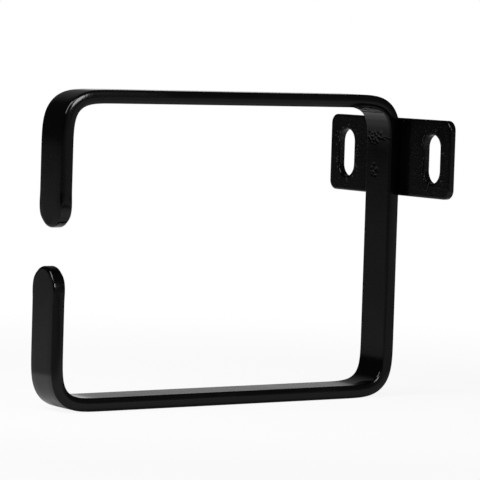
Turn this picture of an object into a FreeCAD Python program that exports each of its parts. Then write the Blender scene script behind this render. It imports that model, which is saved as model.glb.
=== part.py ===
import FreeCAD, Part
import math
import os

import Sketcher

# A cable ring for the side of a rack: a flat bar bent into an open rectangular ring, and a slotted
# plate welded flat on the outside of its upright. Millimetres. The origin is the centre of the
# plate's back, +X points out of that back, the cables run along Y, and +Z is up.
doc = FreeCAD.newDocument("cable_ring")
sheet = doc.addObject("Spreadsheet::Sheet", "Sizes")

DRIVING_SIZES = (
    # flat bar, as it is bought
    ("bar_width", "12.7"),
    ("bar_thickness", "4"),
    ("bar_edge_radius", "0.9"),
    # ring, bent from that bar; the lower arm stands out a little further than the upper one
    ("bend_inner_radius", "7.5"),
    ("ring_height", "93.7"),
    ("upper_reach", "121"),
    ("lower_reach", "122.6"),
    # mouth in the left side, where cables are laid in, and its middle above the ring's half height
    ("mouth_gap", "11.1"),
    ("mouth_rise", "1.1"),
    # upright slots in the plate; the travel is how far a screw can shift in one
    ("slot_width", "8"),
    ("slot_travel", "7"),
    ("slot_spacing", "44.45"),
    # plate: the material left beyond its slots, and its centre below the ring's top
    ("plate_end_margin", "4.8"),
    ("plate_side_margin", "4.5"),
    ("plate_thickness", "2.3"),
    ("plate_corner_radius", "3"),
    ("plate_edge_break", "0.3"),
    ("plate_drop", "19"),
)
for row, (alias, number) in enumerate(DRIVING_SIZES, start=1):
    sheet.set(f"A{row}", number)
    sheet.setAlias(f"A{row}", alias)
doc.recompute()

# A constraint counts an edge's start, end and centre from 1, and the sketch's vertical and horizontal
# axes up to -1. The origin is the start of the horizontal axis.
START, END, CENTRE = range(1, 4)
V_AXIS, H_AXIS = range(-2, 0)
ORIGIN = (H_AXIS, START)

# angles in degrees
QUARTER_TURN, HALF_TURN = 90, 180
PARALLEL_WITHIN = 0.1

ALONG_X = FreeCAD.Vector(1, 0, 0)
ALONG_Y = FreeCAD.Vector(0, 1, 0)
ALONG_Z = FreeCAD.Vector(0, 0, 1)


def value(expression):
    """What an expression over the sheet comes to."""
    return float(sheet.evalExpression(expression))


def plane_of(body, role):
    """The body's own origin plane with this role."""
    return next(plane for plane in body.Origin.OriginFeatures if plane.Role == role)


def sketch_on(body, name, role, offset="0"):
    """A sketch on one of the body's origin planes, moved along its normal by an expression."""
    sketch = body.newObject("Sketcher::SketchObject", name)
    sketch.AttachmentSupport = [(plane_of(body, role), "")]
    sketch.MapMode = "FlatFace"
    sketch.setExpression(".AttachmentOffset.Base.z", offset)
    return sketch


def line(sketch, start, end):
    """A straight sketch edge between two points of the plane."""
    return sketch.addGeometry(Part.LineSegment(FreeCAD.Vector(*start, 0), FreeCAD.Vector(*end, 0)), False)


def arc(sketch, centre, radius, first, turn):
    """A round sketch edge, anticlockwise from a first angle."""
    circle = Part.Circle(FreeCAD.Vector(*centre, 0), ALONG_Z, radius)
    return sketch.addGeometry(Part.ArcOfCircle(circle, math.radians(first), math.radians(first + turn)), False)


def tie(sketch, kind, *places):
    """A relation between sketch edges, such as tangent or horizontal."""
    sketch.addConstraint(Sketcher.Constraint(kind, *places))


def bind(sketch, name, kind, *places, to):
    """A named dimension of the sketch that follows an expression over the sheet."""
    index = sketch.addConstraint(Sketcher.Constraint(kind, *places, value(to)))
    sketch.renameConstraint(index, name)
    sketch.setExpression(f"Constraints.{name}", to)


def rectangle(sketch, width, height, left="0"):
    """A rectangle with its middle on the horizontal axis, a distance to the left of the origin."""
    half_width, half_height, middle = value(width) / 2, value(height) / 2, -value(left)
    signs = ((-1, -1), (1, -1), (1, 1), (-1, 1))
    corners = [(middle + across * half_width, up * half_height) for across, up in signs]
    sides = [line(sketch, start, end) for start, end in zip(corners, corners[1:] + corners[:1])]
    for side, following in zip(sides, sides[1:] + sides[:1]):
        tie(sketch, "Coincident", side, END, following, START)
    low, right_side, high, left_side = sides
    tie(sketch, "Horizontal", low)
    tie(sketch, "Horizontal", high)
    tie(sketch, "Vertical", left_side)
    tie(sketch, "Symmetric", right_side, START, right_side, END, H_AXIS)
    bind(sketch, "width", "DistanceX", low, START, low, END, to=width)
    bind(sketch, "height", "DistanceY", right_side, START, right_side, END, to=height)
    bind(sketch, "left", "DistanceX", low, START, *ORIGIN, to=f"{left} + ({width}) / 2")


def flat_faces(feature, normal):
    """Names of the feature's flat faces that look along a direction, either way."""
    within = math.radians(PARALLEL_WITHIN)
    return [f"Face{i}" for i, face in enumerate(feature.Shape.Faces, start=1)
            if isinstance(face.Surface, Part.Plane) and face.Surface.Axis.isParallel(normal, within)]


def straight_edges(feature, direction):
    """Names of the feature's straight edges that run along a direction, either way."""
    within = math.radians(PARALLEL_WITHIN)
    return [f"Edge{i}" for i, edge in enumerate(feature.Shape.Edges, start=1)
            if isinstance(edge.Curve, Part.Line) and edge.Curve.Direction.isParallel(direction, within)]


def dress(body, kind, name, feature, places, **size):
    """A fillet or chamfer of the named edges, or of every edge of the named faces."""
    dressing = body.newObject(f"PartDesign::{kind}", name)
    dressing.Base = (feature, places)
    for dimension, expression in size.items():
        dressing.setExpression(dimension, expression)
    doc.recompute()


# Bent bar. Its own frame has x = 0 on the upright's outer face, y = 0 at mid width and z = 0 at the
# underside. These expressions place the bar's centre line, to the left of and above that origin.
UPRIGHT = "Sizes.bar_thickness / 2"
UPPER_STUB = "Sizes.upper_reach - Sizes.bar_thickness / 2"
LOWER_STUB = "Sizes.lower_reach - Sizes.bar_thickness / 2"
BOTTOM = "Sizes.bar_thickness / 2"
TOP = "Sizes.ring_height - Sizes.bar_thickness / 2"
BEND_RADIUS = "Sizes.bend_inner_radius + Sizes.bar_thickness / 2"
END_RADIUS = "Sizes.bar_width / 2"
MOUTH_LEVEL = "Sizes.ring_height / 2 + Sizes.mouth_rise"
LOWER_END = f"{MOUTH_LEVEL} - Sizes.mouth_gap / 2 - {END_RADIUS}"
UPPER_END = f"{MOUTH_LEVEL} + Sizes.mouth_gap / 2 + {END_RADIUS}"


def bend_line(body):
    """Centre line of the bar: five straight runs and four equal bends, from the upper end to the lower."""
    sketch = sketch_on(body, "BendLine", "XZ_Plane")
    bend, top, bottom = value(BEND_RADIUS), value(TOP), value(BOTTOM)
    upper, lower, upright = -value(UPPER_STUB), -value(LOWER_STUB), -value(UPRIGHT)
    runs = [line(sketch, (upper, value(UPPER_END)), (upper, top - bend)),
            line(sketch, (upper + bend, top), (upright - bend, top)),
            line(sketch, (upright, top - bend), (upright, bottom + bend)),
            line(sketch, (upright - bend, bottom), (lower + bend, bottom)),
            line(sketch, (lower, bottom + bend), (lower, value(LOWER_END)))]
    centres = ((upper + bend, top - bend), (upright - bend, top - bend),
               (upright - bend, bottom + bend), (lower + bend, bottom + bend))
    for i, centre in enumerate(centres):
        corner = arc(sketch, centre, bend, QUARTER_TURN * (1 - i), QUARTER_TURN)
        tie(sketch, "Tangent", runs[i], END, corner, END)
        tie(sketch, "Tangent", corner, START, runs[i + 1], START)
        bind(sketch, f"bend_{i}", "Radius", corner, to=BEND_RADIUS)
    upper_stub, top_run, upright_run, bottom_run, lower_stub = runs
    for run in (upper_stub, upright_run, lower_stub):
        tie(sketch, "Vertical", run)
    for run in (top_run, bottom_run):
        tie(sketch, "Horizontal", run)
    bind(sketch, "upper_stub", "DistanceX", upper_stub, START, *ORIGIN, to=UPPER_STUB)
    bind(sketch, "upright", "DistanceX", upright_run, START, *ORIGIN, to=UPRIGHT)
    bind(sketch, "lower_stub", "DistanceX", lower_stub, END, *ORIGIN, to=LOWER_STUB)
    bind(sketch, "top", "DistanceY", *ORIGIN, top_run, START, to=TOP)
    bind(sketch, "bottom", "DistanceY", *ORIGIN, bottom_run, START, to=BOTTOM)
    bind(sketch, "upper_end", "DistanceY", *ORIGIN, upper_stub, START, to=UPPER_END)
    bind(sketch, "lower_end", "DistanceY", *ORIGIN, lower_stub, END, to=LOWER_END)
    return sketch


def half_round_end(body, name, stub, level, first):
    """A half disc, as wide and thick as the bar, that finishes one of its ends."""
    sketch = sketch_on(body, f"{name}Outline", "YZ_Plane", f"-({stub})")
    radius, height = value(END_RADIUS), value(level)
    rim = arc(sketch, (0, height), radius, first, HALF_TURN)
    rim_start = radius * math.cos(math.radians(first))
    chord = line(sketch, (rim_start, height), (-rim_start, height))
    tie(sketch, "Coincident", rim, START, chord, START)
    tie(sketch, "Coincident", rim, END, chord, END)
    tie(sketch, "Horizontal", chord)
    tie(sketch, "PointOnObject", rim, CENTRE, V_AXIS)
    tie(sketch, "PointOnObject", rim, CENTRE, chord)
    bind(sketch, "radius", "Radius", rim, to=END_RADIUS)
    bind(sketch, "level", "DistanceY", *ORIGIN, rim, CENTRE, to=level)
    end_round = body.newObject("PartDesign::Pad", name)
    end_round.Profile = sketch
    end_round.SideType = "Symmetric"
    end_round.setExpression("Length", "Sizes.bar_thickness")
    return end_round


def make_ring_bar():
    """One length of flat bar, bent round the cable space, with half-round ends and rounded edges."""
    body = doc.addObject("PartDesign::Body", "RingBar")
    body.Label = "ring_bar"
    path = bend_line(body)
    section = sketch_on(body, "BarSection", "XY_Plane", UPPER_END)
    rectangle(section, "Sizes.bar_thickness", "Sizes.bar_width", UPPER_STUB)
    bent_bar = body.newObject("PartDesign::AdditivePipe", "BentBar")
    bent_bar.Profile = section
    bent_bar.Spine = (path, [f"Edge{i}" for i in range(1, path.GeometryCount + 1)])
    half_round_end(body, "UpperEnd", UPPER_STUB, UPPER_END, HALF_TURN)
    lower_end = half_round_end(body, "LowerEnd", LOWER_STUB, LOWER_END, 0)
    doc.recompute()
    sides = flat_faces(lower_end, ALONG_Y)
    dress(body, "Fillet", "BarEdges", lower_end, sides, Radius="Sizes.bar_edge_radius")
    body.setExpression("Placement.Base.x", "-Sizes.plate_thickness")
    body.setExpression("Placement.Base.z", "Sizes.plate_drop - Sizes.ring_height")
    return body


# Plate. Its own frame is the part's: its back lies at x = 0 and its centre is the origin.
SLOT_RADIUS = "Sizes.slot_width / 2"
SLOT_END = "Sizes.slot_travel / 2"
SLOT_PLACE = "Sizes.slot_spacing / 2"
PLATE_LENGTH = "Sizes.slot_spacing + Sizes.slot_width + 2 * Sizes.plate_end_margin"
PLATE_HEIGHT = "Sizes.slot_travel + Sizes.slot_width + 2 * Sizes.plate_side_margin"


def slot_outline(body):
    """One upright slot: two straight sides and two half-round ends."""
    sketch = sketch_on(body, "SlotOutline", "YZ_Plane")
    radius, across, height = value(SLOT_RADIUS), value(SLOT_PLACE), value(SLOT_END)
    top = arc(sketch, (across, height), radius, 0, HALF_TURN)
    left = line(sketch, (across - radius, height), (across - radius, -height))
    low = arc(sketch, (across, -height), radius, HALF_TURN, HALF_TURN)
    right = line(sketch, (across + radius, -height), (across + radius, height))
    loop = (top, left, low, right)
    for edge, following in zip(loop, loop[1:] + loop[:1]):
        tie(sketch, "Tangent", edge, END, following, START)
    tie(sketch, "Vertical", left)
    tie(sketch, "Equal", top, low)
    bind(sketch, "radius", "Radius", top, to=SLOT_RADIUS)
    bind(sketch, "across", "DistanceX", *ORIGIN, top, CENTRE, to=SLOT_PLACE)
    bind(sketch, "top_end", "DistanceY", *ORIGIN, top, CENTRE, to=SLOT_END)
    bind(sketch, "low_end", "DistanceY", low, CENTRE, *ORIGIN, to=SLOT_END)
    return sketch


def make_fixing_plate():
    """A punched plate with round corners and broken edges, and an upright slot near each end."""
    body = doc.addObject("PartDesign::Body", "FixingPlate")
    body.Label = "fixing_plate"
    outline = sketch_on(body, "PlateOutline", "YZ_Plane")
    rectangle(outline, PLATE_LENGTH, PLATE_HEIGHT)
    blank = body.newObject("PartDesign::Pad", "PlateBlank")
    blank.Profile = outline
    blank.Reversed = True
    blank.setExpression("Length", "Sizes.plate_thickness")
    doc.recompute()
    corners = straight_edges(blank, ALONG_X)
    dress(body, "Fillet", "PlateCorners", blank, corners, Radius="Sizes.plate_corner_radius")
    slot = body.newObject("PartDesign::Pocket", "Slot")
    slot.Profile = slot_outline(body)
    slot.Type = "ThroughAll"
    doc.recompute()
    slots = body.newObject("PartDesign::Mirrored", "Slots")
    slots.Originals = [slot]
    slots.MirrorPlane = (plane_of(body, "XZ_Plane"), [""])
    body.Tip = slots
    doc.recompute()
    front_and_back = flat_faces(slots, ALONG_X)
    dress(body, "Chamfer", "PlateEdges", slots, front_and_back, Size="Sizes.plate_edge_break")
    return body


pieces = (make_ring_bar(), make_fixing_plate())
doc.recompute()

for item in doc.Objects:
    if "Invalid" in item.State or "Error" in item.State:
        raise RuntimeError(f"{item.Name} could not be built")
for piece in pieces:
    if piece.Shape.isNull() or not piece.Shape.isValid():
        raise RuntimeError(f"{piece.Label} has no sound shape")

os.makedirs("parts", exist_ok=True)
for piece in pieces:
    piece.Shape.exportStep(f"parts/{piece.Label}.step")
    print(piece.Label, "volume in cubic millimetres:", round(piece.Shape.Volume, 1))
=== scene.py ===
import math

import bpy
from mathutils import Matrix, Vector


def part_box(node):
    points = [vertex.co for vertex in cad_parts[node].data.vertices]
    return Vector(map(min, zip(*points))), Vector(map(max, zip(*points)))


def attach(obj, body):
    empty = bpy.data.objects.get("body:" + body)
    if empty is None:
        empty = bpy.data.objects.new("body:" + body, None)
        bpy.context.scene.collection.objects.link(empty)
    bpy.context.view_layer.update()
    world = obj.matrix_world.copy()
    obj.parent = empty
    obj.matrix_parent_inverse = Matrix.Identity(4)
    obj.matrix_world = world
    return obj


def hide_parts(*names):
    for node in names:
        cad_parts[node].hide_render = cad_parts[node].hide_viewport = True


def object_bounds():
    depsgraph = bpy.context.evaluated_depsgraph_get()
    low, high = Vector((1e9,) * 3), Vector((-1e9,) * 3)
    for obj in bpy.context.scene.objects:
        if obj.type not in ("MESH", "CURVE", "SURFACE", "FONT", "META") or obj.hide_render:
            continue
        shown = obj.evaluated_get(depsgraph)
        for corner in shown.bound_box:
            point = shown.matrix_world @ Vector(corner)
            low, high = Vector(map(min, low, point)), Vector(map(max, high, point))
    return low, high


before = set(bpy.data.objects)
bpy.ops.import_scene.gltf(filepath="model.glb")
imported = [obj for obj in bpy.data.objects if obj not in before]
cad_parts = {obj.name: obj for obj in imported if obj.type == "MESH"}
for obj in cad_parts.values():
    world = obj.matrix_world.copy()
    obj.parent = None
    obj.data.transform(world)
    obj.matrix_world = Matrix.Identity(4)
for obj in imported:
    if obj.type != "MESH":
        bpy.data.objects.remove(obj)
cad_low, cad_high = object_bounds()


# Bent bar
# One length of flat steel bar with rolled round edges, its two ends cut to a half circle. It is bent cold
# four times into a ring that stays open on the left, where cables are laid in, and painted gloss black.
MM = 0.001
bar_low, bar_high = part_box("ring_bar")
BAR_WIDTH = bar_high.y - bar_low.y
BAR_THICKNESS = 4 * MM
BAR_EDGE_RADIUS, TIP_EDGE_RADIUS = 0.4 * MM, 0.9 * MM
EDGE_CROWN = 0.05
BEND_RADIUS = 6.6 * MM
UPPER_ARM_SHORTER = 1.6 * MM
UPPER_TIP, LOWER_TIP = -21.2 * MM, -32.3 * MM

# How finely the bar is divided: along it, at its marks and tips and across its inside, across its narrow
# sides and across its outside, and then the steps round a bend, of easing it and round an edge
RUN_STEP, MARK_STEP, EDGE_STEP, OUTSIDE_STEP = 0.75 * MM, 0.22 * MM, 0.3 * MM, 3 * MM
BEND_STEPS, EASE_STEPS, EDGE_STEPS = 48, 43, 6
SAME_POINT = 0.005 * MM

# A point of the section lies on a face where it is further from the middle than this share of the thickness
FACE_SHARE = 0.4999

# The ends: their length in half widths of the bar and the power of their curve, and then, in half widths from
# the tip, where the crown of the narrow sides fades and where the edges get rounder
END_STRETCH, END_EASE = 1.3, 2.6
CROWN_FADES = 1.7, 0.8
EDGE_ROUNDS = 0.85, 0.45

# Distances from a tip, in widths of the bar: where the eased bends begin, and how far its fine sections reach
BENDS_BEGIN = 1.0, 1.3
FINE_BY_TIP = 0.95


def put(tree, kind, feeds=(), **settings):
    """A node of this kind in a tree, its inputs set to values or joined to other nodes' outputs."""
    made = tree.nodes.new(kind)
    for name, setting in settings.items():
        setattr(made, name, setting)
    for place, feed in dict(feeds).items():
        if isinstance(feed, bpy.types.NodeSocket):
            tree.links.new(feed, made.inputs[place])
        else:
            made.inputs[place].default_value = feed
    return made


def reckon(tree, operation, *terms):
    """One step of arithmetic on numbers and outputs."""
    return put(tree, "ShaderNodeMath", enumerate(terms), operation=operation).outputs[0]


def times(tree, first, *others):
    """The product of two or more numbers and outputs."""
    for other in others:
        first = reckon(tree, "MULTIPLY", first, other)
    return first


def reckon_vector(tree, operation, *terms, **named):
    """One step of arithmetic on vectors; it gives a number where the operation measures one."""
    made = put(tree, "ShaderNodeVectorMath", {**dict(enumerate(terms)), **named}, operation=operation)
    return made.outputs["Value" if operation in ("DISTANCE", "DOT_PRODUCT", "LENGTH") else "Vector"]


def split(tree, vector):
    """A vector's three numbers."""
    return put(tree, "ShaderNodeSeparateXYZ", {"Vector": vector}).outputs


def mix(tree, share, first, second):
    """The first of two numbers at share 0, the second at share 1."""
    return put(tree, "ShaderNodeMix", {"Factor": share, "A": first, "B": second}).outputs["Result"]


def ramp(tree, value, start, end, low=0.0, high=1.0):
    """A smooth step from low to high while a value goes from start to end."""
    feeds = {"Value": value, "From Min": start, "From Max": end, "To Min": low, "To Max": high}
    return put(tree, "ShaderNodeMapRange", feeds, interpolation_type="SMOOTHSTEP").outputs[0]


def noise(tree, place, waves, detail, roughness=0.5):
    """Smooth noise from 0 to 1, with so many waves to the metre."""
    feeds = {"Vector": place, "Scale": waves, "Detail": detail, "Roughness": roughness}
    return put(tree, "ShaderNodeTexNoise", feeds).outputs["Fac"]


# The paint film's patterns, in waves or cells to the metre, and the limits of its nibs, bloom and shades: a
# ramp's start and end, and its low and high where they aren't 0 and 1
RIPPLES, SAGS, NIB_CELLS, CLOUDS = 620.0, 95.0, 1000.0, 55.0
SAG_TO_RIPPLE = 6.0
CELLS_WITH_NO_NIB = 0.6
NIB_FLANK = 0.45, 0.05
BLOOM_LIMITS = 0.38, 0.72
SHADE_LIMITS = 0.3, 0.75, 0.7, 1.5
BLUE_CAST = 1.1


def paint_film():
    """Sprayed gloss paint: the ripple and nibs of its skin, and a bloom that dulls it here and there."""
    group = bpy.data.node_groups.new("paint_film", "ShaderNodeTree")
    group.interface.new_socket("Place", in_out="INPUT", socket_type="NodeSocketVector")
    for name in ("Tone", "Dullness", "Bloom", "Ripple", "Nibs"):
        group.interface.new_socket(name, in_out="INPUT", socket_type="NodeSocketFloat")
    for name, kind in (("Colour", "Color"), ("Roughness", "Float"), ("Height", "Float")):
        group.interface.new_socket(name, in_out="OUTPUT", socket_type=f"NodeSocket{kind}")
    given = group.nodes.new("NodeGroupInput").outputs
    place = given["Place"]
    ripple = noise(group, place, RIPPLES, detail=2.0)
    sag = noise(group, place, SAGS, detail=1.0)
    height = times(group, reckon(group, "MULTIPLY_ADD", sag, SAG_TO_RIPPLE, ripple), given["Ripple"])
    cells = put(group, "ShaderNodeTexVoronoi", {"Vector": place, "Scale": NIB_CELLS}).outputs
    chance = put(group, "ShaderNodeSeparateColor", {"Color": cells["Color"]}).outputs["Red"]
    has_nib = reckon(group, "GREATER_THAN", chance, CELLS_WITH_NO_NIB)
    nib = times(group, ramp(group, cells["Distance"], *NIB_FLANK), has_nib)
    height = reckon(group, "MULTIPLY_ADD", nib, given["Nibs"], height)
    cloud = noise(group, place, CLOUDS, detail=5.0, roughness=0.6)
    bloom = ramp(group, cloud, *BLOOM_LIMITS)
    roughness = reckon(group, "MULTIPLY_ADD", bloom, given["Bloom"], given["Dullness"])
    tone = times(group, given["Tone"], ramp(group, cloud, *SHADE_LIMITS))
    feeds = {"Red": tone, "Green": tone, "Blue": times(group, tone, BLUE_CAST)}
    colour = put(group, "ShaderNodeCombineColor", feeds).outputs[0]
    put(group, "NodeGroupOutput", {"Colour": colour, "Roughness": roughness, "Height": height})
    return group


PAINT_FILM = paint_film()


def black_paint(name, index, **amounts):
    """Gloss black paint on steel, with its index of refraction and its amounts of what the film takes."""
    material = bpy.data.materials.new(name)
    material.use_nodes = True
    tree = material.node_tree
    feeds = {amount.capitalize(): value for amount, value in amounts.items()}
    feeds["Place"] = put(tree, "ShaderNodeTexCoord").outputs["Object"]
    film = put(tree, "ShaderNodeGroup", feeds, node_tree=PAINT_FILM, name="film").outputs
    bump = put(tree, "ShaderNodeBump", {"Strength": 1.0, "Distance": MM, "Height": film["Height"]})
    shader = tree.nodes["Principled BSDF"].inputs
    shader["IOR"].default_value = index
    tree.links.new(film["Colour"], shader["Base Color"])
    tree.links.new(film["Roughness"], shader["Roughness"])
    tree.links.new(bump.outputs["Normal"], shader["Normal"])
    return material


def shape_tree(name, sizes):
    """A geometry tree with a named input for each size and for the paint, and the outputs that give them."""
    tree = bpy.data.node_groups.new(name, "GeometryNodeTree")
    tree.interface.new_socket("Geometry", in_out="OUTPUT", socket_type="NodeSocketGeometry")
    tree.interface.new_socket("Geometry", in_out="INPUT", socket_type="NodeSocketGeometry")
    for size in sizes:
        tree.interface.new_socket(size, in_out="INPUT", socket_type="NodeSocketFloat")
    tree.interface.new_socket("Paint", in_out="INPUT", socket_type="NodeSocketMaterial")
    return tree, tree.nodes.new("NodeGroupInput").outputs


def finish_shape(tree, geometry, paint):
    """Closes a geometry tree: seams merged, smooth, one plain mesh, painted."""
    merged = put(tree, "GeometryNodeMergeByDistance", {"Geometry": geometry, "Distance": SAME_POINT})
    smooth = put(tree, "GeometryNodeSetShadeSmooth", {"Geometry": merged.outputs[0]})
    whole = put(tree, "GeometryNodeRealizeInstances", {"Geometry": smooth.outputs[0]})
    painted = put(tree, "GeometryNodeSetMaterial", {"Geometry": whole.outputs[0], "Material": paint})
    put(tree, "NodeGroupOutput", {"Geometry": painted.outputs[0]})


def shaped(name, start, tree, sizes, paint):
    """The plain mesh that a geometry tree makes of a starting mesh, as a piece of its own."""
    blank = bpy.data.objects.new(f"{name}_blank", start)
    bpy.context.scene.collection.objects.link(blank)
    modifier = blank.modifiers.new("shape", "NODES")
    modifier.node_group = tree
    given = {**sizes, "Paint": paint}
    for item in tree.interface.items_tree:
        if item.in_out == "INPUT" and item.name in given:
            modifier[item.identifier] = given[item.name]
    evaluated = blank.evaluated_get(bpy.context.evaluated_depsgraph_get())
    mesh = bpy.data.meshes.new_from_object(evaluated)
    bpy.data.objects.remove(blank)
    for empty in [i for i, material in enumerate(mesh.materials) if material is None]:
        mesh.materials.pop(index=empty)
    piece = bpy.data.objects.new(name, mesh)
    bpy.context.scene.collection.objects.link(piece)
    return piece


def here(tree):
    """Where each point is."""
    return put(tree, "GeometryNodeInputPosition").outputs[0]


def moved(tree, geometry, offset):
    """A geometry with its points moved by an offset."""
    return put(tree, "GeometryNodeSetPosition", {"Geometry": geometry, "Offset": offset}).outputs[0]


def noted(tree, geometry, facts):
    """A geometry that keeps facts of its points, as outputs that what is made of it can read."""
    made = put(tree, "GeometryNodeCaptureAttribute", {"Geometry": geometry})
    for name, (kind, _) in facts.items():
        made.capture_items.new(kind, name)
    for name, (_, fact) in facts.items():
        tree.links.new(fact, made.inputs[name])
    return made.outputs


def line_measures(tree):
    """How far along its line each point is, and the length of the whole line."""
    along = put(tree, "GeometryNodeSplineParameter").outputs["Length"]
    whole = put(tree, "GeometryNodeSplineLength").outputs["Length"]
    return along, whole


def from_nearer_tip(tree, along, whole):
    """The way to the nearer end of a line."""
    return reckon(tree, "MINIMUM", along, reckon(tree, "SUBTRACT", whole, along))


def no_longer_than(tree, curve, step):
    """A curve whose straight runs are cut into equal lengths, none longer than about a step."""
    place = here(tree)
    following = put(tree, "GeometryNodeOffsetPointInCurve", {"Offset": 1}).outputs["Point Index"]
    feeds = {"Value": place, "Index": following}
    next_place = put(tree, "GeometryNodeFieldAtIndex", feeds, data_type="FLOAT_VECTOR").outputs[0]
    length = reckon_vector(tree, "DISTANCE", place, next_place)
    cuts = reckon(tree, "FLOOR", reckon(tree, "DIVIDE", length, step))
    return put(tree, "GeometryNodeSubdivideCurve", {"Curve": curve, "Cuts": cuts}).outputs[0]


def crowned(tree, given, level):
    """The share of the bar's width that its crowned narrow sides leave at a level of its thickness."""
    share = reckon(tree, "DIVIDE", level, reckon(tree, "DIVIDE", given["Bar Thickness"], 2.0))
    return reckon(tree, "SUBTRACT", 1.0, times(tree, given["Edge Crown"], share, share))


def bar_section(tree, given):
    """The bar's section, a flat rectangle with round crowned edges, and each point's place in it."""
    feeds = {"Width": given["Bar Width"], "Height": given["Bar Thickness"]}
    flat = put(tree, "GeometryNodeCurvePrimitiveQuadrilateral", feeds).outputs[0]
    feeds = {"Curve": flat, "Count": EDGE_STEPS, "Radius": given["Edge Radius"]}
    rounded = put(tree, "GeometryNodeFilletCurve", feeds, mode="POLY").outputs[0]
    place = split(tree, here(tree))
    face = times(tree, given["Bar Thickness"], FACE_SHARE)
    inside = reckon(tree, "LESS_THAN", place["Y"], times(tree, face, -1.0))
    outside = reckon(tree, "GREATER_THAN", place["Y"], face)
    step = mix(tree, inside, given["Edge Step"], given["Mark Step"])
    fine = no_longer_than(tree, rounded, mix(tree, outside, step, given["Outside Step"]))
    narrowed = times(tree, place["X"], crowned(tree, given, place["Y"]))
    crowned_place = put(tree, "ShaderNodeCombineXYZ", {"X": narrowed, "Y": place["Y"]}).outputs[0]
    feeds = {"Geometry": fine, "Position": crowned_place}
    section = put(tree, "GeometryNodeSetPosition", feeds).outputs[0]
    kept = noted(tree, section, {"Place": ("VECTOR", here(tree))})
    return kept["Geometry"], kept["Place"]


def edge_width(tree, given, level, radius):
    """Half the bar's width at a level of its thickness, where its edges are rounded to a radius."""
    half_flat = reckon(tree, "SUBTRACT", reckon(tree, "DIVIDE", given["Bar Thickness"], 2.0), radius)
    into_edge = reckon(tree, "SUBTRACT", reckon(tree, "ABSOLUTE", level), half_flat)
    into_edge = reckon(tree, "MINIMUM", reckon(tree, "MAXIMUM", into_edge, 0.0), radius)
    squares = reckon(tree, "SUBTRACT", times(tree, radius, radius), times(tree, into_edge, into_edge))
    lost = reckon(tree, "SUBTRACT", radius, reckon(tree, "SQRT", squares))
    return reckon(tree, "SUBTRACT", reckon(tree, "DIVIDE", given["Bar Width"], 2.0), lost)


def half_round_ends(tree, bar, given, facts, section_place):
    """Draws the bar's sections in towards each tip, so that it ends in a half circle with rounder edges."""
    level = split(tree, section_place)["Y"]
    end_radius = reckon(tree, "DIVIDE", given["Bar Width"], 2.0)
    end_length = times(tree, end_radius, END_STRETCH)
    from_tip = from_nearer_tip(tree, facts["Along"], facts["Whole"])
    to_tip = reckon(tree, "MINIMUM", from_tip, end_length)
    into_end = reckon(tree, "SUBTRACT", 1.0, reckon(tree, "DIVIDE", to_tip, end_length))
    out = reckon(tree, "SINE", times(tree, into_end, math.pi / 2))

    plain = edge_width(tree, given, level, given["Edge Radius"])
    rolled = times(tree, plain, crowned(tree, given, level))
    rounder = edge_width(tree, given, level, given["Tip Edge Radius"])
    uncrowned = ramp(tree, from_tip, *(times(tree, end_radius, share) for share in CROWN_FADES))
    cut = ramp(tree, from_tip, *(times(tree, end_radius, share) for share in EDGE_ROUNDS))
    half_width = mix(tree, cut, mix(tree, uncrowned, rolled, plain), rounder)

    past_half_circle = reckon(tree, "SUBTRACT", end_length, end_radius)
    reach = times(tree, out, reckon(tree, "ADD", half_width, past_half_circle))
    shift = reckon(tree, "SUBTRACT", reckon(tree, "SUBTRACT", end_length, reach), to_tip)
    first_half = reckon(tree, "LESS_THAN", facts["Along"], reckon(tree, "DIVIDE", facts["Whole"], 2.0))
    inwards = reckon(tree, "MULTIPLY_ADD", first_half, 2.0, -1.0)
    lengthwise = reckon_vector(tree, "SCALE", facts["Run"], Scale=times(tree, shift, inwards))

    left = reckon(tree, "SUBTRACT", 1.0, reckon(tree, "POWER", out, END_EASE))
    outline = reckon(tree, "SQRT", reckon(tree, "MAXIMUM", left, 0.0))
    kept = times(tree, outline, reckon(tree, "DIVIDE", half_width, rolled))
    narrowing = times(tree, split(tree, here(tree))["Y"], reckon(tree, "SUBTRACT", kept, 1.0))
    across = put(tree, "ShaderNodeCombineXYZ", {"Y": narrowing}).outputs[0]
    return moved(tree, bar, reckon_vector(tree, "ADD", lengthwise, across))


# The two spot welds' marks on the inside of the upright: places and reaches across the bar and up it, then
# the length of bar that is divided finely for them, and their patterns in cells or waves to the metre
UPPER_WELD, UPPER_WELD_REACH, UPPER_WELD_DEPTH = (1.6 * MM, 6.0 * MM), (4.8 * MM, 2.6 * MM), 0.13 * MM
LOWER_WELD, LOWER_WELD_REACH, LOWER_WELD_DEPTH = (1.8 * MM, -4.7 * MM), (2.2 * MM, 2.4 * MM), 0.09 * MM
CREASE_START, CREASE_END = (-1.2 * MM, 6.5 * MM), (-6.3 * MM, 5.5 * MM)
CREASE_WIDTH, CREASE_DEPTH = 0.5 * MM, 0.025 * MM
MARKED_MIDDLE, MARKED_REACH = -0.5 * MM, 8.0 * MM
PIT_CELLS, PATCH_WAVES, PATCH_UNEVEN = 900.0, 540.0, 0.6
PATCH_EDGE, PIT_FLANK = (1.35, 1.0), (0.5, 0.12)
SKIN_DEPTH = 0.5 * MM, 0.1 * MM
weld_face = bar_high.x - BAR_THICKNESS


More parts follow.
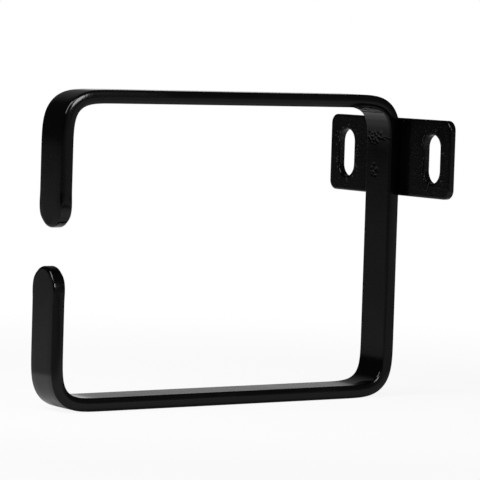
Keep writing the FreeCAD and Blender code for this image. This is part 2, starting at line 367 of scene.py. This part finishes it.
def weld_pits(tree, centre, reach, depth):
    """The depth of one spot weld's burnt mark: an uneven patch of small pits."""
    place = here(tree)
    away = reckon_vector(tree, "SUBTRACT", place, (weld_face, *centre))
    away = reckon_vector(tree, "MULTIPLY", away, (0.0, 1.0 / reach[0], 1.0 / reach[1]))
    uneven = noise(tree, place, PATCH_WAVES, detail=1.0)
    edge = reckon(tree, "MULTIPLY_ADD", uneven, PATCH_UNEVEN, reckon_vector(tree, "LENGTH", away))
    flat = split(tree, place)
    on_face = put(tree, "ShaderNodeCombineXYZ", {"X": flat["Y"], "Y": flat["Z"]}).outputs[0]
    feeds = {"Vector": on_face, "Scale": PIT_CELLS}
    cells = put(tree, "ShaderNodeTexVoronoi", feeds, voronoi_dimensions="2D").outputs["Distance"]
    return times(tree, ramp(tree, edge, *PATCH_EDGE), ramp(tree, cells, *PIT_FLANK), depth)


def weld_crease(tree):
    """The depth of the crease from the upper weld to the bar's front edge."""
    start, end = Vector((weld_face, *CREASE_START)), Vector((weld_face, *CREASE_END))
    run = end - start
    from_start = reckon_vector(tree, "SUBTRACT", here(tree), tuple(start))
    from_start = reckon_vector(tree, "MULTIPLY", from_start, (0.0, 1.0, 1.0))
    along = reckon_vector(tree, "DOT_PRODUCT", from_start, tuple(run))
    share = reckon(tree, "DIVIDE", along, run.length_squared)
    share = put(tree, "ShaderNodeClamp", {"Value": share}).outputs[0]
    nearest = reckon_vector(tree, "SCALE", tuple(run), Scale=share)
    away = reckon_vector(tree, "DISTANCE", from_start, nearest)
    return times(tree, ramp(tree, away, CREASE_WIDTH, 0.0), CREASE_DEPTH)


def weld_marks(tree, bar, section_place):
    """Presses the marks of the plate's two spot welds into the inside of the bar's upright."""
    skin = -BAR_THICKNESS / 2
    inside = ramp(tree, split(tree, section_place)["Y"], *(skin + depth for depth in SKIN_DEPTH))
    upright = reckon(tree, "GREATER_THAN", split(tree, here(tree))["X"], weld_face - MM)
    upper = weld_pits(tree, UPPER_WELD, UPPER_WELD_REACH, UPPER_WELD_DEPTH)
    lower = weld_pits(tree, LOWER_WELD, LOWER_WELD_REACH, LOWER_WELD_DEPTH)
    deepest = reckon(tree, "MAXIMUM", reckon(tree, "MAXIMUM", upper, lower), weld_crease(tree))
    depth = times(tree, deepest, times(tree, inside, upright))
    outwards = put(tree, "GeometryNodeInputNormal").outputs[0]
    return moved(tree, bar, reckon_vector(tree, "SCALE", outwards, Scale=times(tree, depth, -1.0)))


def eased_bends(tree, line, given, from_tip):
    """The bar's line with bends that start and end gently, as after cold bending; its tips stay in place."""
    place = here(tree)
    feeds = {"Value": place, "Iterations": EASE_STEPS}
    eased = put(tree, "GeometryNodeBlurAttribute", feeds, data_type="FLOAT_VECTOR").outputs[0]
    share = ramp(tree, from_tip, *(times(tree, given["Bar Width"], widths) for widths in BENDS_BEGIN))
    offset = reckon_vector(tree, "SCALE", reckon_vector(tree, "SUBTRACT", eased, place), Scale=share)
    return moved(tree, line, offset)


def bent_bar_tree(sizes):
    """Bends a bar along a line of straight runs, rounds its ends and marks the two spot welds."""
    tree, given = shape_tree("bent_bar", sizes)
    along, whole = line_measures(tree)
    from_tip = from_nearer_tip(tree, along, whole)
    line = put(tree, "GeometryNodeMeshToCurve", {"Mesh": given["Geometry"]}).outputs[0]
    feeds = {"Curve": line, "Count": BEND_STEPS, "Radius": given["Bend Radius"]}
    bent = put(tree, "GeometryNodeFilletCurve", feeds, mode="POLY").outputs[0]
    feeds = {"Curve": bent, "Length": given["Run Step"]}
    even = put(tree, "GeometryNodeResampleCurve", feeds, mode="LENGTH").outputs[0]
    even = eased_bends(tree, even, given, from_tip)
    place = split(tree, here(tree))
    on_upright = reckon(tree, "GREATER_THAN", place["X"], weld_face)
    by_weld = times(tree, on_upright, reckon(tree, "COMPARE", place["Z"], MARKED_MIDDLE, MARKED_REACH))
    by_tip = reckon(tree, "LESS_THAN", from_tip, times(tree, given["Bar Width"], FINE_BY_TIP))
    parts = reckon(tree, "FLOOR", reckon(tree, "DIVIDE", given["Run Step"], given["Mark Step"]))
    cuts = times(tree, reckon(tree, "MAXIMUM", by_weld, by_tip), parts)
    fine = put(tree, "GeometryNodeSubdivideCurve", {"Curve": even, "Cuts": cuts}).outputs[0]
    feeds = {"Curve": fine, "Normal": (0.0, 1.0, 0.0)}
    level = put(tree, "GeometryNodeSetCurveNormal", feeds, mode="FREE").outputs[0]
    run = put(tree, "GeometryNodeInputTangent").outputs[0]
    facts = noted(tree, level, {"Along": ("FLOAT", along), "Whole": ("FLOAT", whole), "Run": ("VECTOR", run)})
    section, section_place = bar_section(tree, given)
    feeds = {"Curve": facts["Geometry"], "Profile Curve": section}
    bar = put(tree, "GeometryNodeCurveToMesh", feeds).outputs[0]
    rounded = half_round_ends(tree, bar, given, facts, section_place)
    finish_shape(tree, weld_marks(tree, rounded, section_place), given["Paint"])
    return tree


def bend_line():
    """The bar's middle line with sharp corners: five straight runs from the upper tip to the lower one."""
    half = BAR_THICKNESS / 2
    lower_arm, upright = bar_low.x + half, bar_high.x - half
    upper_arm = lower_arm + UPPER_ARM_SHORTER
    top, bottom = bar_high.z - half, bar_low.z + half
    corners = [(upper_arm, UPPER_TIP), (upper_arm, top), (upright, top),
               (upright, bottom), (lower_arm, bottom), (lower_arm, LOWER_TIP)]
    runs = [(i, i + 1) for i in range(len(corners) - 1)]
    line = bpy.data.meshes.new("bend_line")
    line.from_pydata([(x, 0.0, z) for x, z in corners], runs, [])
    return line


bar_paint = black_paint("bar_paint", index=1.34, tone=0.001, dullness=0.11, bloom=0.06,
                        ripple=0.004, nibs=0.004)
bar_sizes = {"Bar Width": BAR_WIDTH, "Bar Thickness": BAR_THICKNESS, "Edge Radius": BAR_EDGE_RADIUS,
             "Tip Edge Radius": TIP_EDGE_RADIUS, "Edge Crown": EDGE_CROWN, "Bend Radius": BEND_RADIUS,
             "Run Step": RUN_STEP, "Edge Step": EDGE_STEP, "Mark Step": MARK_STEP,
             "Outside Step": OUTSIDE_STEP}
bent_bar = shaped("bent_bar", bend_line(), bent_bar_tree(bar_sizes), bar_sizes, bar_paint)
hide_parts("ring_bar")
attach(bent_bar, "root")


# Fixing plate
# A strip of sheet steel with round corners and two upright slots, punched out in one stroke and painted with
# the bar. It is spot welded flat on the outside of the bar's upright, and rack screws go through its slots.
plate_low, plate_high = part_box("fixing_plate")
PLATE_CORNER_RADIUS = 3 * MM
SLOT_WIDTH, SLOT_LENGTH, SLOT_SPACING = 8 * MM, 15 * MM, 44.45 * MM
RIM_RADIUS, SLOT_RIM_RADIUS, RIM_BAND = 0.55 * MM, 0.3 * MM, 0.8 * MM
CORNER_STEPS, SLOT_STEPS, RIM_STEPS = 16, 40, 5

# A slot's end radius as a share of its width, a hair under a half
SLOT_END_SHARE = 0.49999

# An edge of the mesh is open where it has one face beside it, and how near to one the count has to be
ONE_FACE, COUNT_MARGIN = 1.0, 0.5

# The height of the paint's nibs over the plate and round its slots, and where the one gives way to the other
PLATE_NIBS, SLOT_NIBS = 0.02, 0.2
SLOT_NIBS_REACH = 3.0 * MM, 1.5 * MM


def rounded_outline(tree, width, height, radius, steps):
    """A rectangle with round corners, drawn flat."""
    feeds = {"Width": width, "Height": height}
    plain = put(tree, "GeometryNodeCurvePrimitiveQuadrilateral", feeds).outputs[0]
    feeds = {"Curve": plain, "Count": steps, "Radius": radius, "Limit Radius": True}
    return put(tree, "GeometryNodeFilletCurve", feeds, mode="POLY").outputs[0]


def rim_section(tree, given, radius):
    """The sheet's edge from face to face, its two corners eased, with a strip of each face."""
    half = reckon(tree, "DIVIDE", given["Thickness"], 2.0)
    back = times(tree, given["Rim Band"], -1.0)
    below = times(tree, half, -1.0)
    places = [(back, below), (0.0, below), (0.0, half), (back, half)]
    corners = [put(tree, "ShaderNodeCombineXYZ", {"X": x, "Y": y}).outputs[0] for x, y in places]
    feeds = {f"Point {i + 1}": corner for i, corner in enumerate(corners)}
    square = put(tree, "GeometryNodeCurvePrimitiveQuadrilateral", feeds, mode="POINTS").outputs[0]
    opened = put(tree, "GeometryNodeSetSplineCyclic", {"Geometry": square, "Cyclic": False}).outputs[0]
    feeds = {"Curve": opened, "Count": RIM_STEPS, "Radius": radius, "Limit Radius": True}
    return put(tree, "GeometryNodeFilletCurve", feeds, mode="POLY").outputs[0]


def plate_face(tree, rims, given, side):
    """One face of the plate, filled in between the strips that the rims leave of it."""
    neighbours = put(tree, "GeometryNodeInputMeshEdgeNeighbors").outputs[0]
    open_edge = reckon(tree, "COMPARE", neighbours, ONE_FACE, COUNT_MARGIN)
    this_side = reckon(tree, "GREATER_THAN", times(tree, split(tree, here(tree))["Z"], side), 0.0)
    feeds = {"Mesh": rims, "Selection": times(tree, open_edge, this_side)}
    loops = put(tree, "GeometryNodeMeshToCurve", feeds).outputs[0]
    filled = put(tree, "GeometryNodeFillCurve", {"Curve": loops}, mode="TRIANGLES").outputs[0]
    lift = put(tree, "ShaderNodeCombineXYZ", {"Z": times(tree, given["Thickness"], side / 2)}).outputs[0]
    raised = moved(tree, filled, lift)
    return raised if side > 0 else put(tree, "GeometryNodeFlipFaces", {"Mesh": raised}).outputs[0]


def punched_plate_tree(sizes):
    """Cuts a sheet to its outline, punches a slot at each given point and eases every rim."""
    tree, given = shape_tree("punched_plate", sizes)
    outline = rounded_outline(tree, given["Length"], given["Height"], given["Corner Radius"], CORNER_STEPS)
    slot_radius = times(tree, given["Slot Width"], SLOT_END_SHARE)
    slot = rounded_outline(tree, given["Slot Width"], given["Slot Length"], slot_radius, SLOT_STEPS)
    slot = put(tree, "GeometryNodeReverseCurve", {"Curve": slot}).outputs[0]
    feeds = {"Points": given["Geometry"], "Instance": slot}
    slots = put(tree, "GeometryNodeInstanceOnPoints", feeds).outputs[0]
    slots = put(tree, "GeometryNodeRealizeInstances", {"Geometry": slots}).outputs[0]
    rims = put(tree, "GeometryNodeJoinGeometry")
    for line, radius in ((outline, given["Rim Radius"]), (slots, given["Slot Rim Radius"])):
        flat = put(tree, "GeometryNodeSetCurveNormal", {"Curve": line}, mode="Z_UP").outputs[0]
        feeds = {"Curve": flat, "Profile Curve": rim_section(tree, given, radius)}
        tree.links.new(put(tree, "GeometryNodeCurveToMesh", feeds).outputs[0], rims.inputs[0])
    edges = rims.outputs[0]
    whole = put(tree, "GeometryNodeJoinGeometry")
    for part in (edges, plate_face(tree, edges, given, 1), plate_face(tree, edges, given, -1)):
        tree.links.new(part, whole.inputs[0])
    middle = reckon(tree, "SUBTRACT", given["Back"], reckon(tree, "DIVIDE", given["Thickness"], 2.0))
    feeds = {"Geometry": whole.outputs[0], "Rotation": (math.pi / 2, 0.0, math.pi / 2),
             "Translation": put(tree, "ShaderNodeCombineXYZ", {"X": middle}).outputs[0]}
    finish_shape(tree, put(tree, "GeometryNodeTransform", feeds).outputs[0], given["Paint"])
    return tree


def rough_round_slots(material):
    """More and higher nibs in the paint round the plate's slots, where the punch left the metal rough."""
    tree = material.node_tree
    place = split(tree, put(tree, "ShaderNodeTexCoord").outputs["Object"])
    sideways = reckon(tree, "SUBTRACT", reckon(tree, "ABSOLUTE", place["Y"]), SLOT_SPACING / 2)
    straight = (SLOT_LENGTH - SLOT_WIDTH) / 2
    past_straight = reckon(tree, "SUBTRACT", reckon(tree, "ABSOLUTE", place["Z"]), straight)
    feeds = {"X": sideways, "Y": reckon(tree, "MAXIMUM", past_straight, 0.0)}
    from_middle = reckon_vector(tree, "LENGTH", put(tree, "ShaderNodeCombineXYZ", feeds).outputs[0])
    from_slot = reckon(tree, "SUBTRACT", from_middle, SLOT_WIDTH / 2)
    nibs = ramp(tree, from_slot, *SLOT_NIBS_REACH, PLATE_NIBS, SLOT_NIBS)
    tree.links.new(nibs, tree.nodes["film"].inputs["Nibs"])


plate_paint = black_paint("plate_paint", index=1.31, tone=0.001, dullness=0.13, bloom=0.08, ripple=0.006)
rough_round_slots(plate_paint)
slot_points = bpy.data.meshes.new("slot_points")
slot_points.from_pydata([(side * SLOT_SPACING / 2, 0.0, 0.0) for side in (-1, 1)], [], [])
plate_size = plate_high - plate_low
plate_sizes = {"Length": plate_size.y, "Height": plate_size.z, "Thickness": plate_size.x,
               "Corner Radius": PLATE_CORNER_RADIUS, "Slot Width": SLOT_WIDTH, "Slot Length": SLOT_LENGTH,
               "Rim Radius": RIM_RADIUS, "Slot Rim Radius": SLOT_RIM_RADIUS, "Rim Band": RIM_BAND,
               "Back": plate_high.x}
plate_tree = punched_plate_tree(plate_sizes)
punched_plate = shaped("punched_plate", slot_points, plate_tree, plate_sizes, plate_paint)
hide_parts("fixing_plate")
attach(punched_plate, "root")


# Table
# A pale grey table top with a sheet of white paper under the ring, which widens to the back. The camera sees
# it almost plain white, with the ring's shadow. Its greys, shades and shine are there for the black paint to
# mirror, as the paint in the photograph does.
VIEW_TURN = math.radians(33.794)
WHITE = (1.0, 1.0, 1.0, 1.0)
ring_middle = (cad_low + cad_high) / 2
view_flat = Vector((math.sin(VIEW_TURN), math.cos(VIEW_TURN), 0.0))
view_side = Vector((math.cos(VIEW_TURN), -math.sin(VIEW_TURN), 0.0))
front_right = Vector((0.669, -0.743, 0.0))
back_right = Vector((0.832, 0.555, 0.0))
right_of_shade = Vector((0.949, 0.305, 0.0))

# The table, the paper and the ring's shadow, with limits in metres or in shares of the paper's half breadth
TABLE_REACH, TABLE_FADES = 0.62, (0.34, 0.60)
TABLE_GREY, PAPER_WHITE, PAPER_MIRRORED = 0.35, 0.74, 0.22
PAPER_BREADTH, PAPER_SPREAD = 0.115, 0.05
PAPER_SIDES, PAPER_FRONT = (0.92, 0.76), (-0.16, -0.06)
SHADOW_FADES, SHADOW_WHITE = (0.10, 0.30), 0.9

# Painted light in front on the right: its sector, where it starts, and how near it comes to paper white
LIT_POOL_SECTOR, LIT_POOL_START, LIT_POOL_SHARE = (0.85, 0.98), (0.10, 0.20), 0.55

# Painted shade behind on the right, at a low angle, and painted shine behind and in front, at a steeper one
BEHIND_RING, RIGHT_OF_RING = (0.0, 0.06), (-0.045, 0.0)
LOW_ANGLE, LOW_ANGLE_SHADE_GREY = (0.25, 0.10), 0.28
BACK_SHINE = 0.06, 0.34, 0.0, 0.42
IN_FRONT, FRONT_SHINE = (-0.04, -0.09), (0.22, 0.32, 0.0, 0.55)

# Shade in front on the left, and close before the bar
SHADE_EDGE, SHADE_START = (0.058, 0.002), (-0.05, -0.11)
SHADE_GREYS = 0.02, 0.06, 0.31, 0.20
BY_BAR, UNDER_BAR = (-0.055, -0.030, 1.0, 0.75), (-0.009, -0.0066, 1.0, 0.4)
BAR_FRONT = -0.0058, -0.0066


def seen_rays(tree, mirrored):
    """One for a ray from the camera, and a share of one for a ray that is mirrored or goes through glass."""
    path = put(tree, "ShaderNodeLightPath").outputs
    other = reckon(tree, "MAXIMUM", path["Is Glossy Ray"], path["Is Transmission Ray"])
    return reckon(tree, "MAXIMUM", path["Is Camera Ray"], times(tree, other, mirrored))


def table_paint():
    """Pale grey and white paper, with painted light, shade and shine that only the black paint mirrors."""
    material = bpy.data.materials.new("table_white")
    material.use_nodes = True
    tree = material.node_tree
    tree.nodes.clear()
    place = put(tree, "ShaderNodeTexCoord").outputs["Object"]
    sideways, ahead, _ = split(tree, place)
    away = reckon_vector(tree, "LENGTH", place)
    along = reckon_vector(tree, "DOT_PRODUCT", place, tuple(view_flat))
    side = reckon(tree, "ABSOLUTE", reckon_vector(tree, "DOT_PRODUCT", place, tuple(view_side)))
    mirror_ray = put(tree, "ShaderNodeLightPath").outputs["Is Glossy Ray"]
    facing = put(tree, "ShaderNodeLayerWeight", {"Blend": 0.5}).outputs["Facing"]
    steep = reckon(tree, "SUBTRACT", 1.0, facing)

    behind = ramp(tree, along, *BEHIND_RING)
    to_right = ramp(tree, reckon_vector(tree, "DOT_PRODUCT", place, tuple(back_right)), *RIGHT_OF_RING)
    # Painted shade: mirrored rays see the table a darker grey behind on the right, at a low angle
    dim = times(tree, behind, to_right, ramp(tree, steep, *LOW_ANGLE), mirror_ray)
    past_edge = ramp(tree, reckon_vector(tree, "DOT_PRODUCT", place, tuple(right_of_shade)), *SHADE_EDGE)
    shade = times(tree, mirror_ray, past_edge, ramp(tree, along, *SHADE_START))
    unshaded = reckon(tree, "SUBTRACT", 1.0, shade)
    bare = mix(tree, shade, mix(tree, dim, TABLE_GREY, LOW_ANGLE_SHADE_GREY), ramp(tree, sideways, *SHADE_GREYS))
    before_bar = times(tree, mirror_ray, ramp(tree, ahead, *BAR_FRONT))
    bar_shade = times(tree, ramp(tree, ahead, *BY_BAR), ramp(tree, ahead, *UNDER_BAR))
    bar_shade = mix(tree, before_bar, 1.0, bar_shade)

    breadth = reckon(tree, "MULTIPLY_ADD", along, PAPER_SPREAD, PAPER_BREADTH)
    sheet = ramp(tree, reckon(tree, "DIVIDE", side, breadth), *PAPER_SIDES)
    undimmed = reckon(tree, "SUBTRACT", 1.0, dim)
    paper = times(tree, sheet, ramp(tree, along, *PAPER_FRONT), unshaded, undimmed)
    # Painted light: a pool in front on the right, paler up to paper white, that the paint mirrors
    towards = reckon(tree, "DIVIDE", reckon_vector(tree, "DOT_PRODUCT", place, tuple(front_right)), away)
    lit_pool_strength = ramp(tree, away, *LIT_POOL_START, 0.0, LIT_POOL_SHARE)
    painted_lit_pool = times(tree, ramp(tree, towards, *LIT_POOL_SECTOR), lit_pool_strength, unshaded)
    grey = mix(tree, reckon(tree, "MAXIMUM", paper, painted_lit_pool), bare, PAPER_WHITE)
    matt = put(tree, "ShaderNodeBsdfDiffuse", {"Color": times(tree, grey, bar_shade)}).outputs[0]

    # Painted shine: white that mirrored rays see on the paper and, at a steeper angle, behind and in front
    back_shine = times(tree, behind, ramp(tree, steep, *BACK_SHINE))
    paper_shine = times(tree, paper, bar_shade, PAPER_MIRRORED)
    front_shine = times(tree, ramp(tree, ahead, *IN_FRONT), ramp(tree, steep, *FRONT_SHINE))
    shine = reckon(tree, "ADD", reckon(tree, "MAXIMUM", back_shine, paper_shine), front_shine)
    white = times(tree, ramp(tree, away, *SHADOW_FADES, SHADOW_WHITE, 1.0), seen_rays(tree, shine))
    bright = put(tree, "ShaderNodeEmission", {"Color": WHITE, "Strength": 1.0}).outputs[0]
    laid = put(tree, "ShaderNodeMixShader", {0: white, 1: matt, 2: bright}).outputs[0]
    clear = put(tree, "ShaderNodeBsdfTransparent").outputs[0]
    fading = ramp(tree, away, *TABLE_FADES)
    faded = put(tree, "ShaderNodeMixShader", {0: fading, 1: laid, 2: clear}).outputs[0]
    put(tree, "ShaderNodeOutputMaterial", {"Surface": faded})
    return material


table_mesh = bpy.data.meshes.new("table")
table_corners = [(TABLE_REACH * x, TABLE_REACH * y, 0.0) for x, y in ((-1, -1), (1, -1), (1, 1), (-1, 1))]
table_mesh.from_pydata(table_corners, [], [(0, 1, 2, 3)])
table_mesh.materials.append(table_paint())
table = bpy.data.objects.new("table", table_mesh)
table.location = (ring_middle.x, ring_middle.y, cad_low.z)
bpy.context.scene.collection.objects.link(table)


# Room
# A dim grey studio, paler low down, on its front right wall and high at the back, and white behind the ring.
# The camera sees it as plain white. Three soft lamps stand in it: a square one high on the left, a smaller
# one low in front, and a long strip between them.
back_wall_way = Vector((0.45, 0.78, 0.43))

# Limits of each grey and of the white: by how straight a ray goes at a wall, as a cosine, by how steeply it
# rises, as a sine, and for the breadth of the white by its angle from the view
FRONT_WALL, BACK_WALL = (0.1, 1.0, 0.02, 0.09), (0.8, 1.0, 0.0, 0.09)
LOW_WALL, LOW_WALL_GLOW = (0.80, 0.96), (0.16, 0.0, 0.0, 0.12)
GROUND_FRONT, GROUND_STEEP = (0.85, 0.99, 0.25, 0.48), (-0.08, -0.30, 0.0, 0.25)
HORIZON = math.sin(math.radians(-1.5)), math.sin(math.radians(-4))
WHITE_BREADTH = math.radians(35), math.radians(10)
WHITE_HEIGHT = math.sin(math.radians(10)), math.sin(math.radians(1))


def room():
    """The grey that lights the ring and is mirrored in it, by the way that a ray goes."""
    world = bpy.data.worlds.new("room")
    bpy.context.scene.world = world
    world.use_nodes = True
    tree = world.node_tree
    tree.nodes.clear()
    way = put(tree, "ShaderNodeTexCoord").outputs["Generated"]
    up = split(tree, way)["Z"]
    along = reckon_vector(tree, "DOT_PRODUCT", way, tuple(view_flat))
    side = reckon_vector(tree, "DOT_PRODUCT", way, tuple(view_side))
    turn = reckon(tree, "ABSOLUTE", reckon(tree, "ARCTAN2", side, along))
    behind = times(tree, ramp(tree, turn, *WHITE_BREADTH), ramp(tree, up, *WHITE_HEIGHT))
    wall = reckon_vector(tree, "DOT_PRODUCT", way, tuple(front_right))
    back_wall = reckon_vector(tree, "DOT_PRODUCT", way, tuple(back_wall_way))
    above = reckon(tree, "ADD", ramp(tree, wall, *FRONT_WALL), ramp(tree, back_wall, *BACK_WALL))
    low_wall = times(tree, ramp(tree, wall, *LOW_WALL), ramp(tree, up, *LOW_WALL_GLOW))
    above = reckon(tree, "ADD", above, low_wall)
    below = reckon(tree, "ADD", ramp(tree, wall, *GROUND_FRONT), ramp(tree, up, *GROUND_STEEP))
    grey = mix(tree, ramp(tree, up, *HORIZON), above, below)
    dim = put(tree, "ShaderNodeBackground", {"Color": WHITE, "Strength": grey}).outputs[0]
    bright = put(tree, "ShaderNodeBackground", {"Color": WHITE, "Strength": 1.0}).outputs[0]
    lit = put(tree, "ShaderNodeMixShader", {0: seen_rays(tree, behind), 1: dim, 2: bright}).outputs[0]
    put(tree, "ShaderNodeOutputWorld", {"Surface": lit})


room()


def soft_lamp(name, way, distance, length, breadth, power, lies_along=(1.0, 0.0, 0.0)):
    """A soft lamp that looks at the ring's middle from a way and distance, its length along a line."""
    light = bpy.data.lights.new(name, "AREA")
    light.shape = "RECTANGLE"
    light.size, light.size_y = length, breadth
    light.energy = power
    back = Vector(way).normalized()
    upwards = back.cross(Vector(lies_along)).normalized()
    lamp = bpy.data.objects.new(name, light)
    lamp.matrix_world = Matrix((upwards.cross(back), upwards, back)).transposed().to_4x4()
    lamp.location = ring_middle + distance * back
    bpy.context.scene.collection.objects.link(lamp)


soft_lamp("left_lamp", way=(-0.70, -0.05, 0.70), distance=0.60, length=0.33, breadth=0.33, power=3.4)
soft_lamp("front_lamp", way=(0.27, -0.92, 0.28), distance=1.20, length=0.26, breadth=0.26, power=3.5)
soft_lamp("strip_lamp", way=(-0.301, -0.668, 0.680), distance=0.85, length=0.80, breadth=0.15, power=2.3,
          lies_along=(0.710, -0.632, -0.310))


# Camera
# It stands about 0.9 m off, in front on the left and a little higher than the top of the ring, with a long
# lens, and leans a little to the side, as the one that took the photograph did.
VIEW_TILT, VIEW_ROLL = math.radians(3.900), math.radians(1.757)
CAMERA_PLACE = Vector((-0.54816, -0.73408, 0.03459))
LENS, SENSOR = 220.21, 36.0
CLIP_START, CLIP_END = 0.01, 50.0
forward = math.cos(VIEW_TILT) * view_flat - Vector((0.0, 0.0, math.sin(VIEW_TILT)))
upwards = view_side.cross(forward)
rolled_right = math.cos(VIEW_ROLL) * view_side + math.sin(VIEW_ROLL) * upwards
rolled_up = math.cos(VIEW_ROLL) * upwards - math.sin(VIEW_ROLL) * view_side
camera_data = bpy.data.cameras.new("camera")
camera_data.lens, camera_data.sensor_width = LENS, SENSOR
camera_data.clip_start, camera_data.clip_end = CLIP_START, CLIP_END
camera = bpy.data.objects.new("camera", camera_data)
camera.matrix_world = Matrix((rolled_right, rolled_up, -forward)).transposed().to_4x4()
camera.location = CAMERA_PLACE
bpy.context.scene.collection.objects.link(camera)
bpy.context.scene.camera = camera
bpy.context.scene.view_settings.view_transform = "Standard"
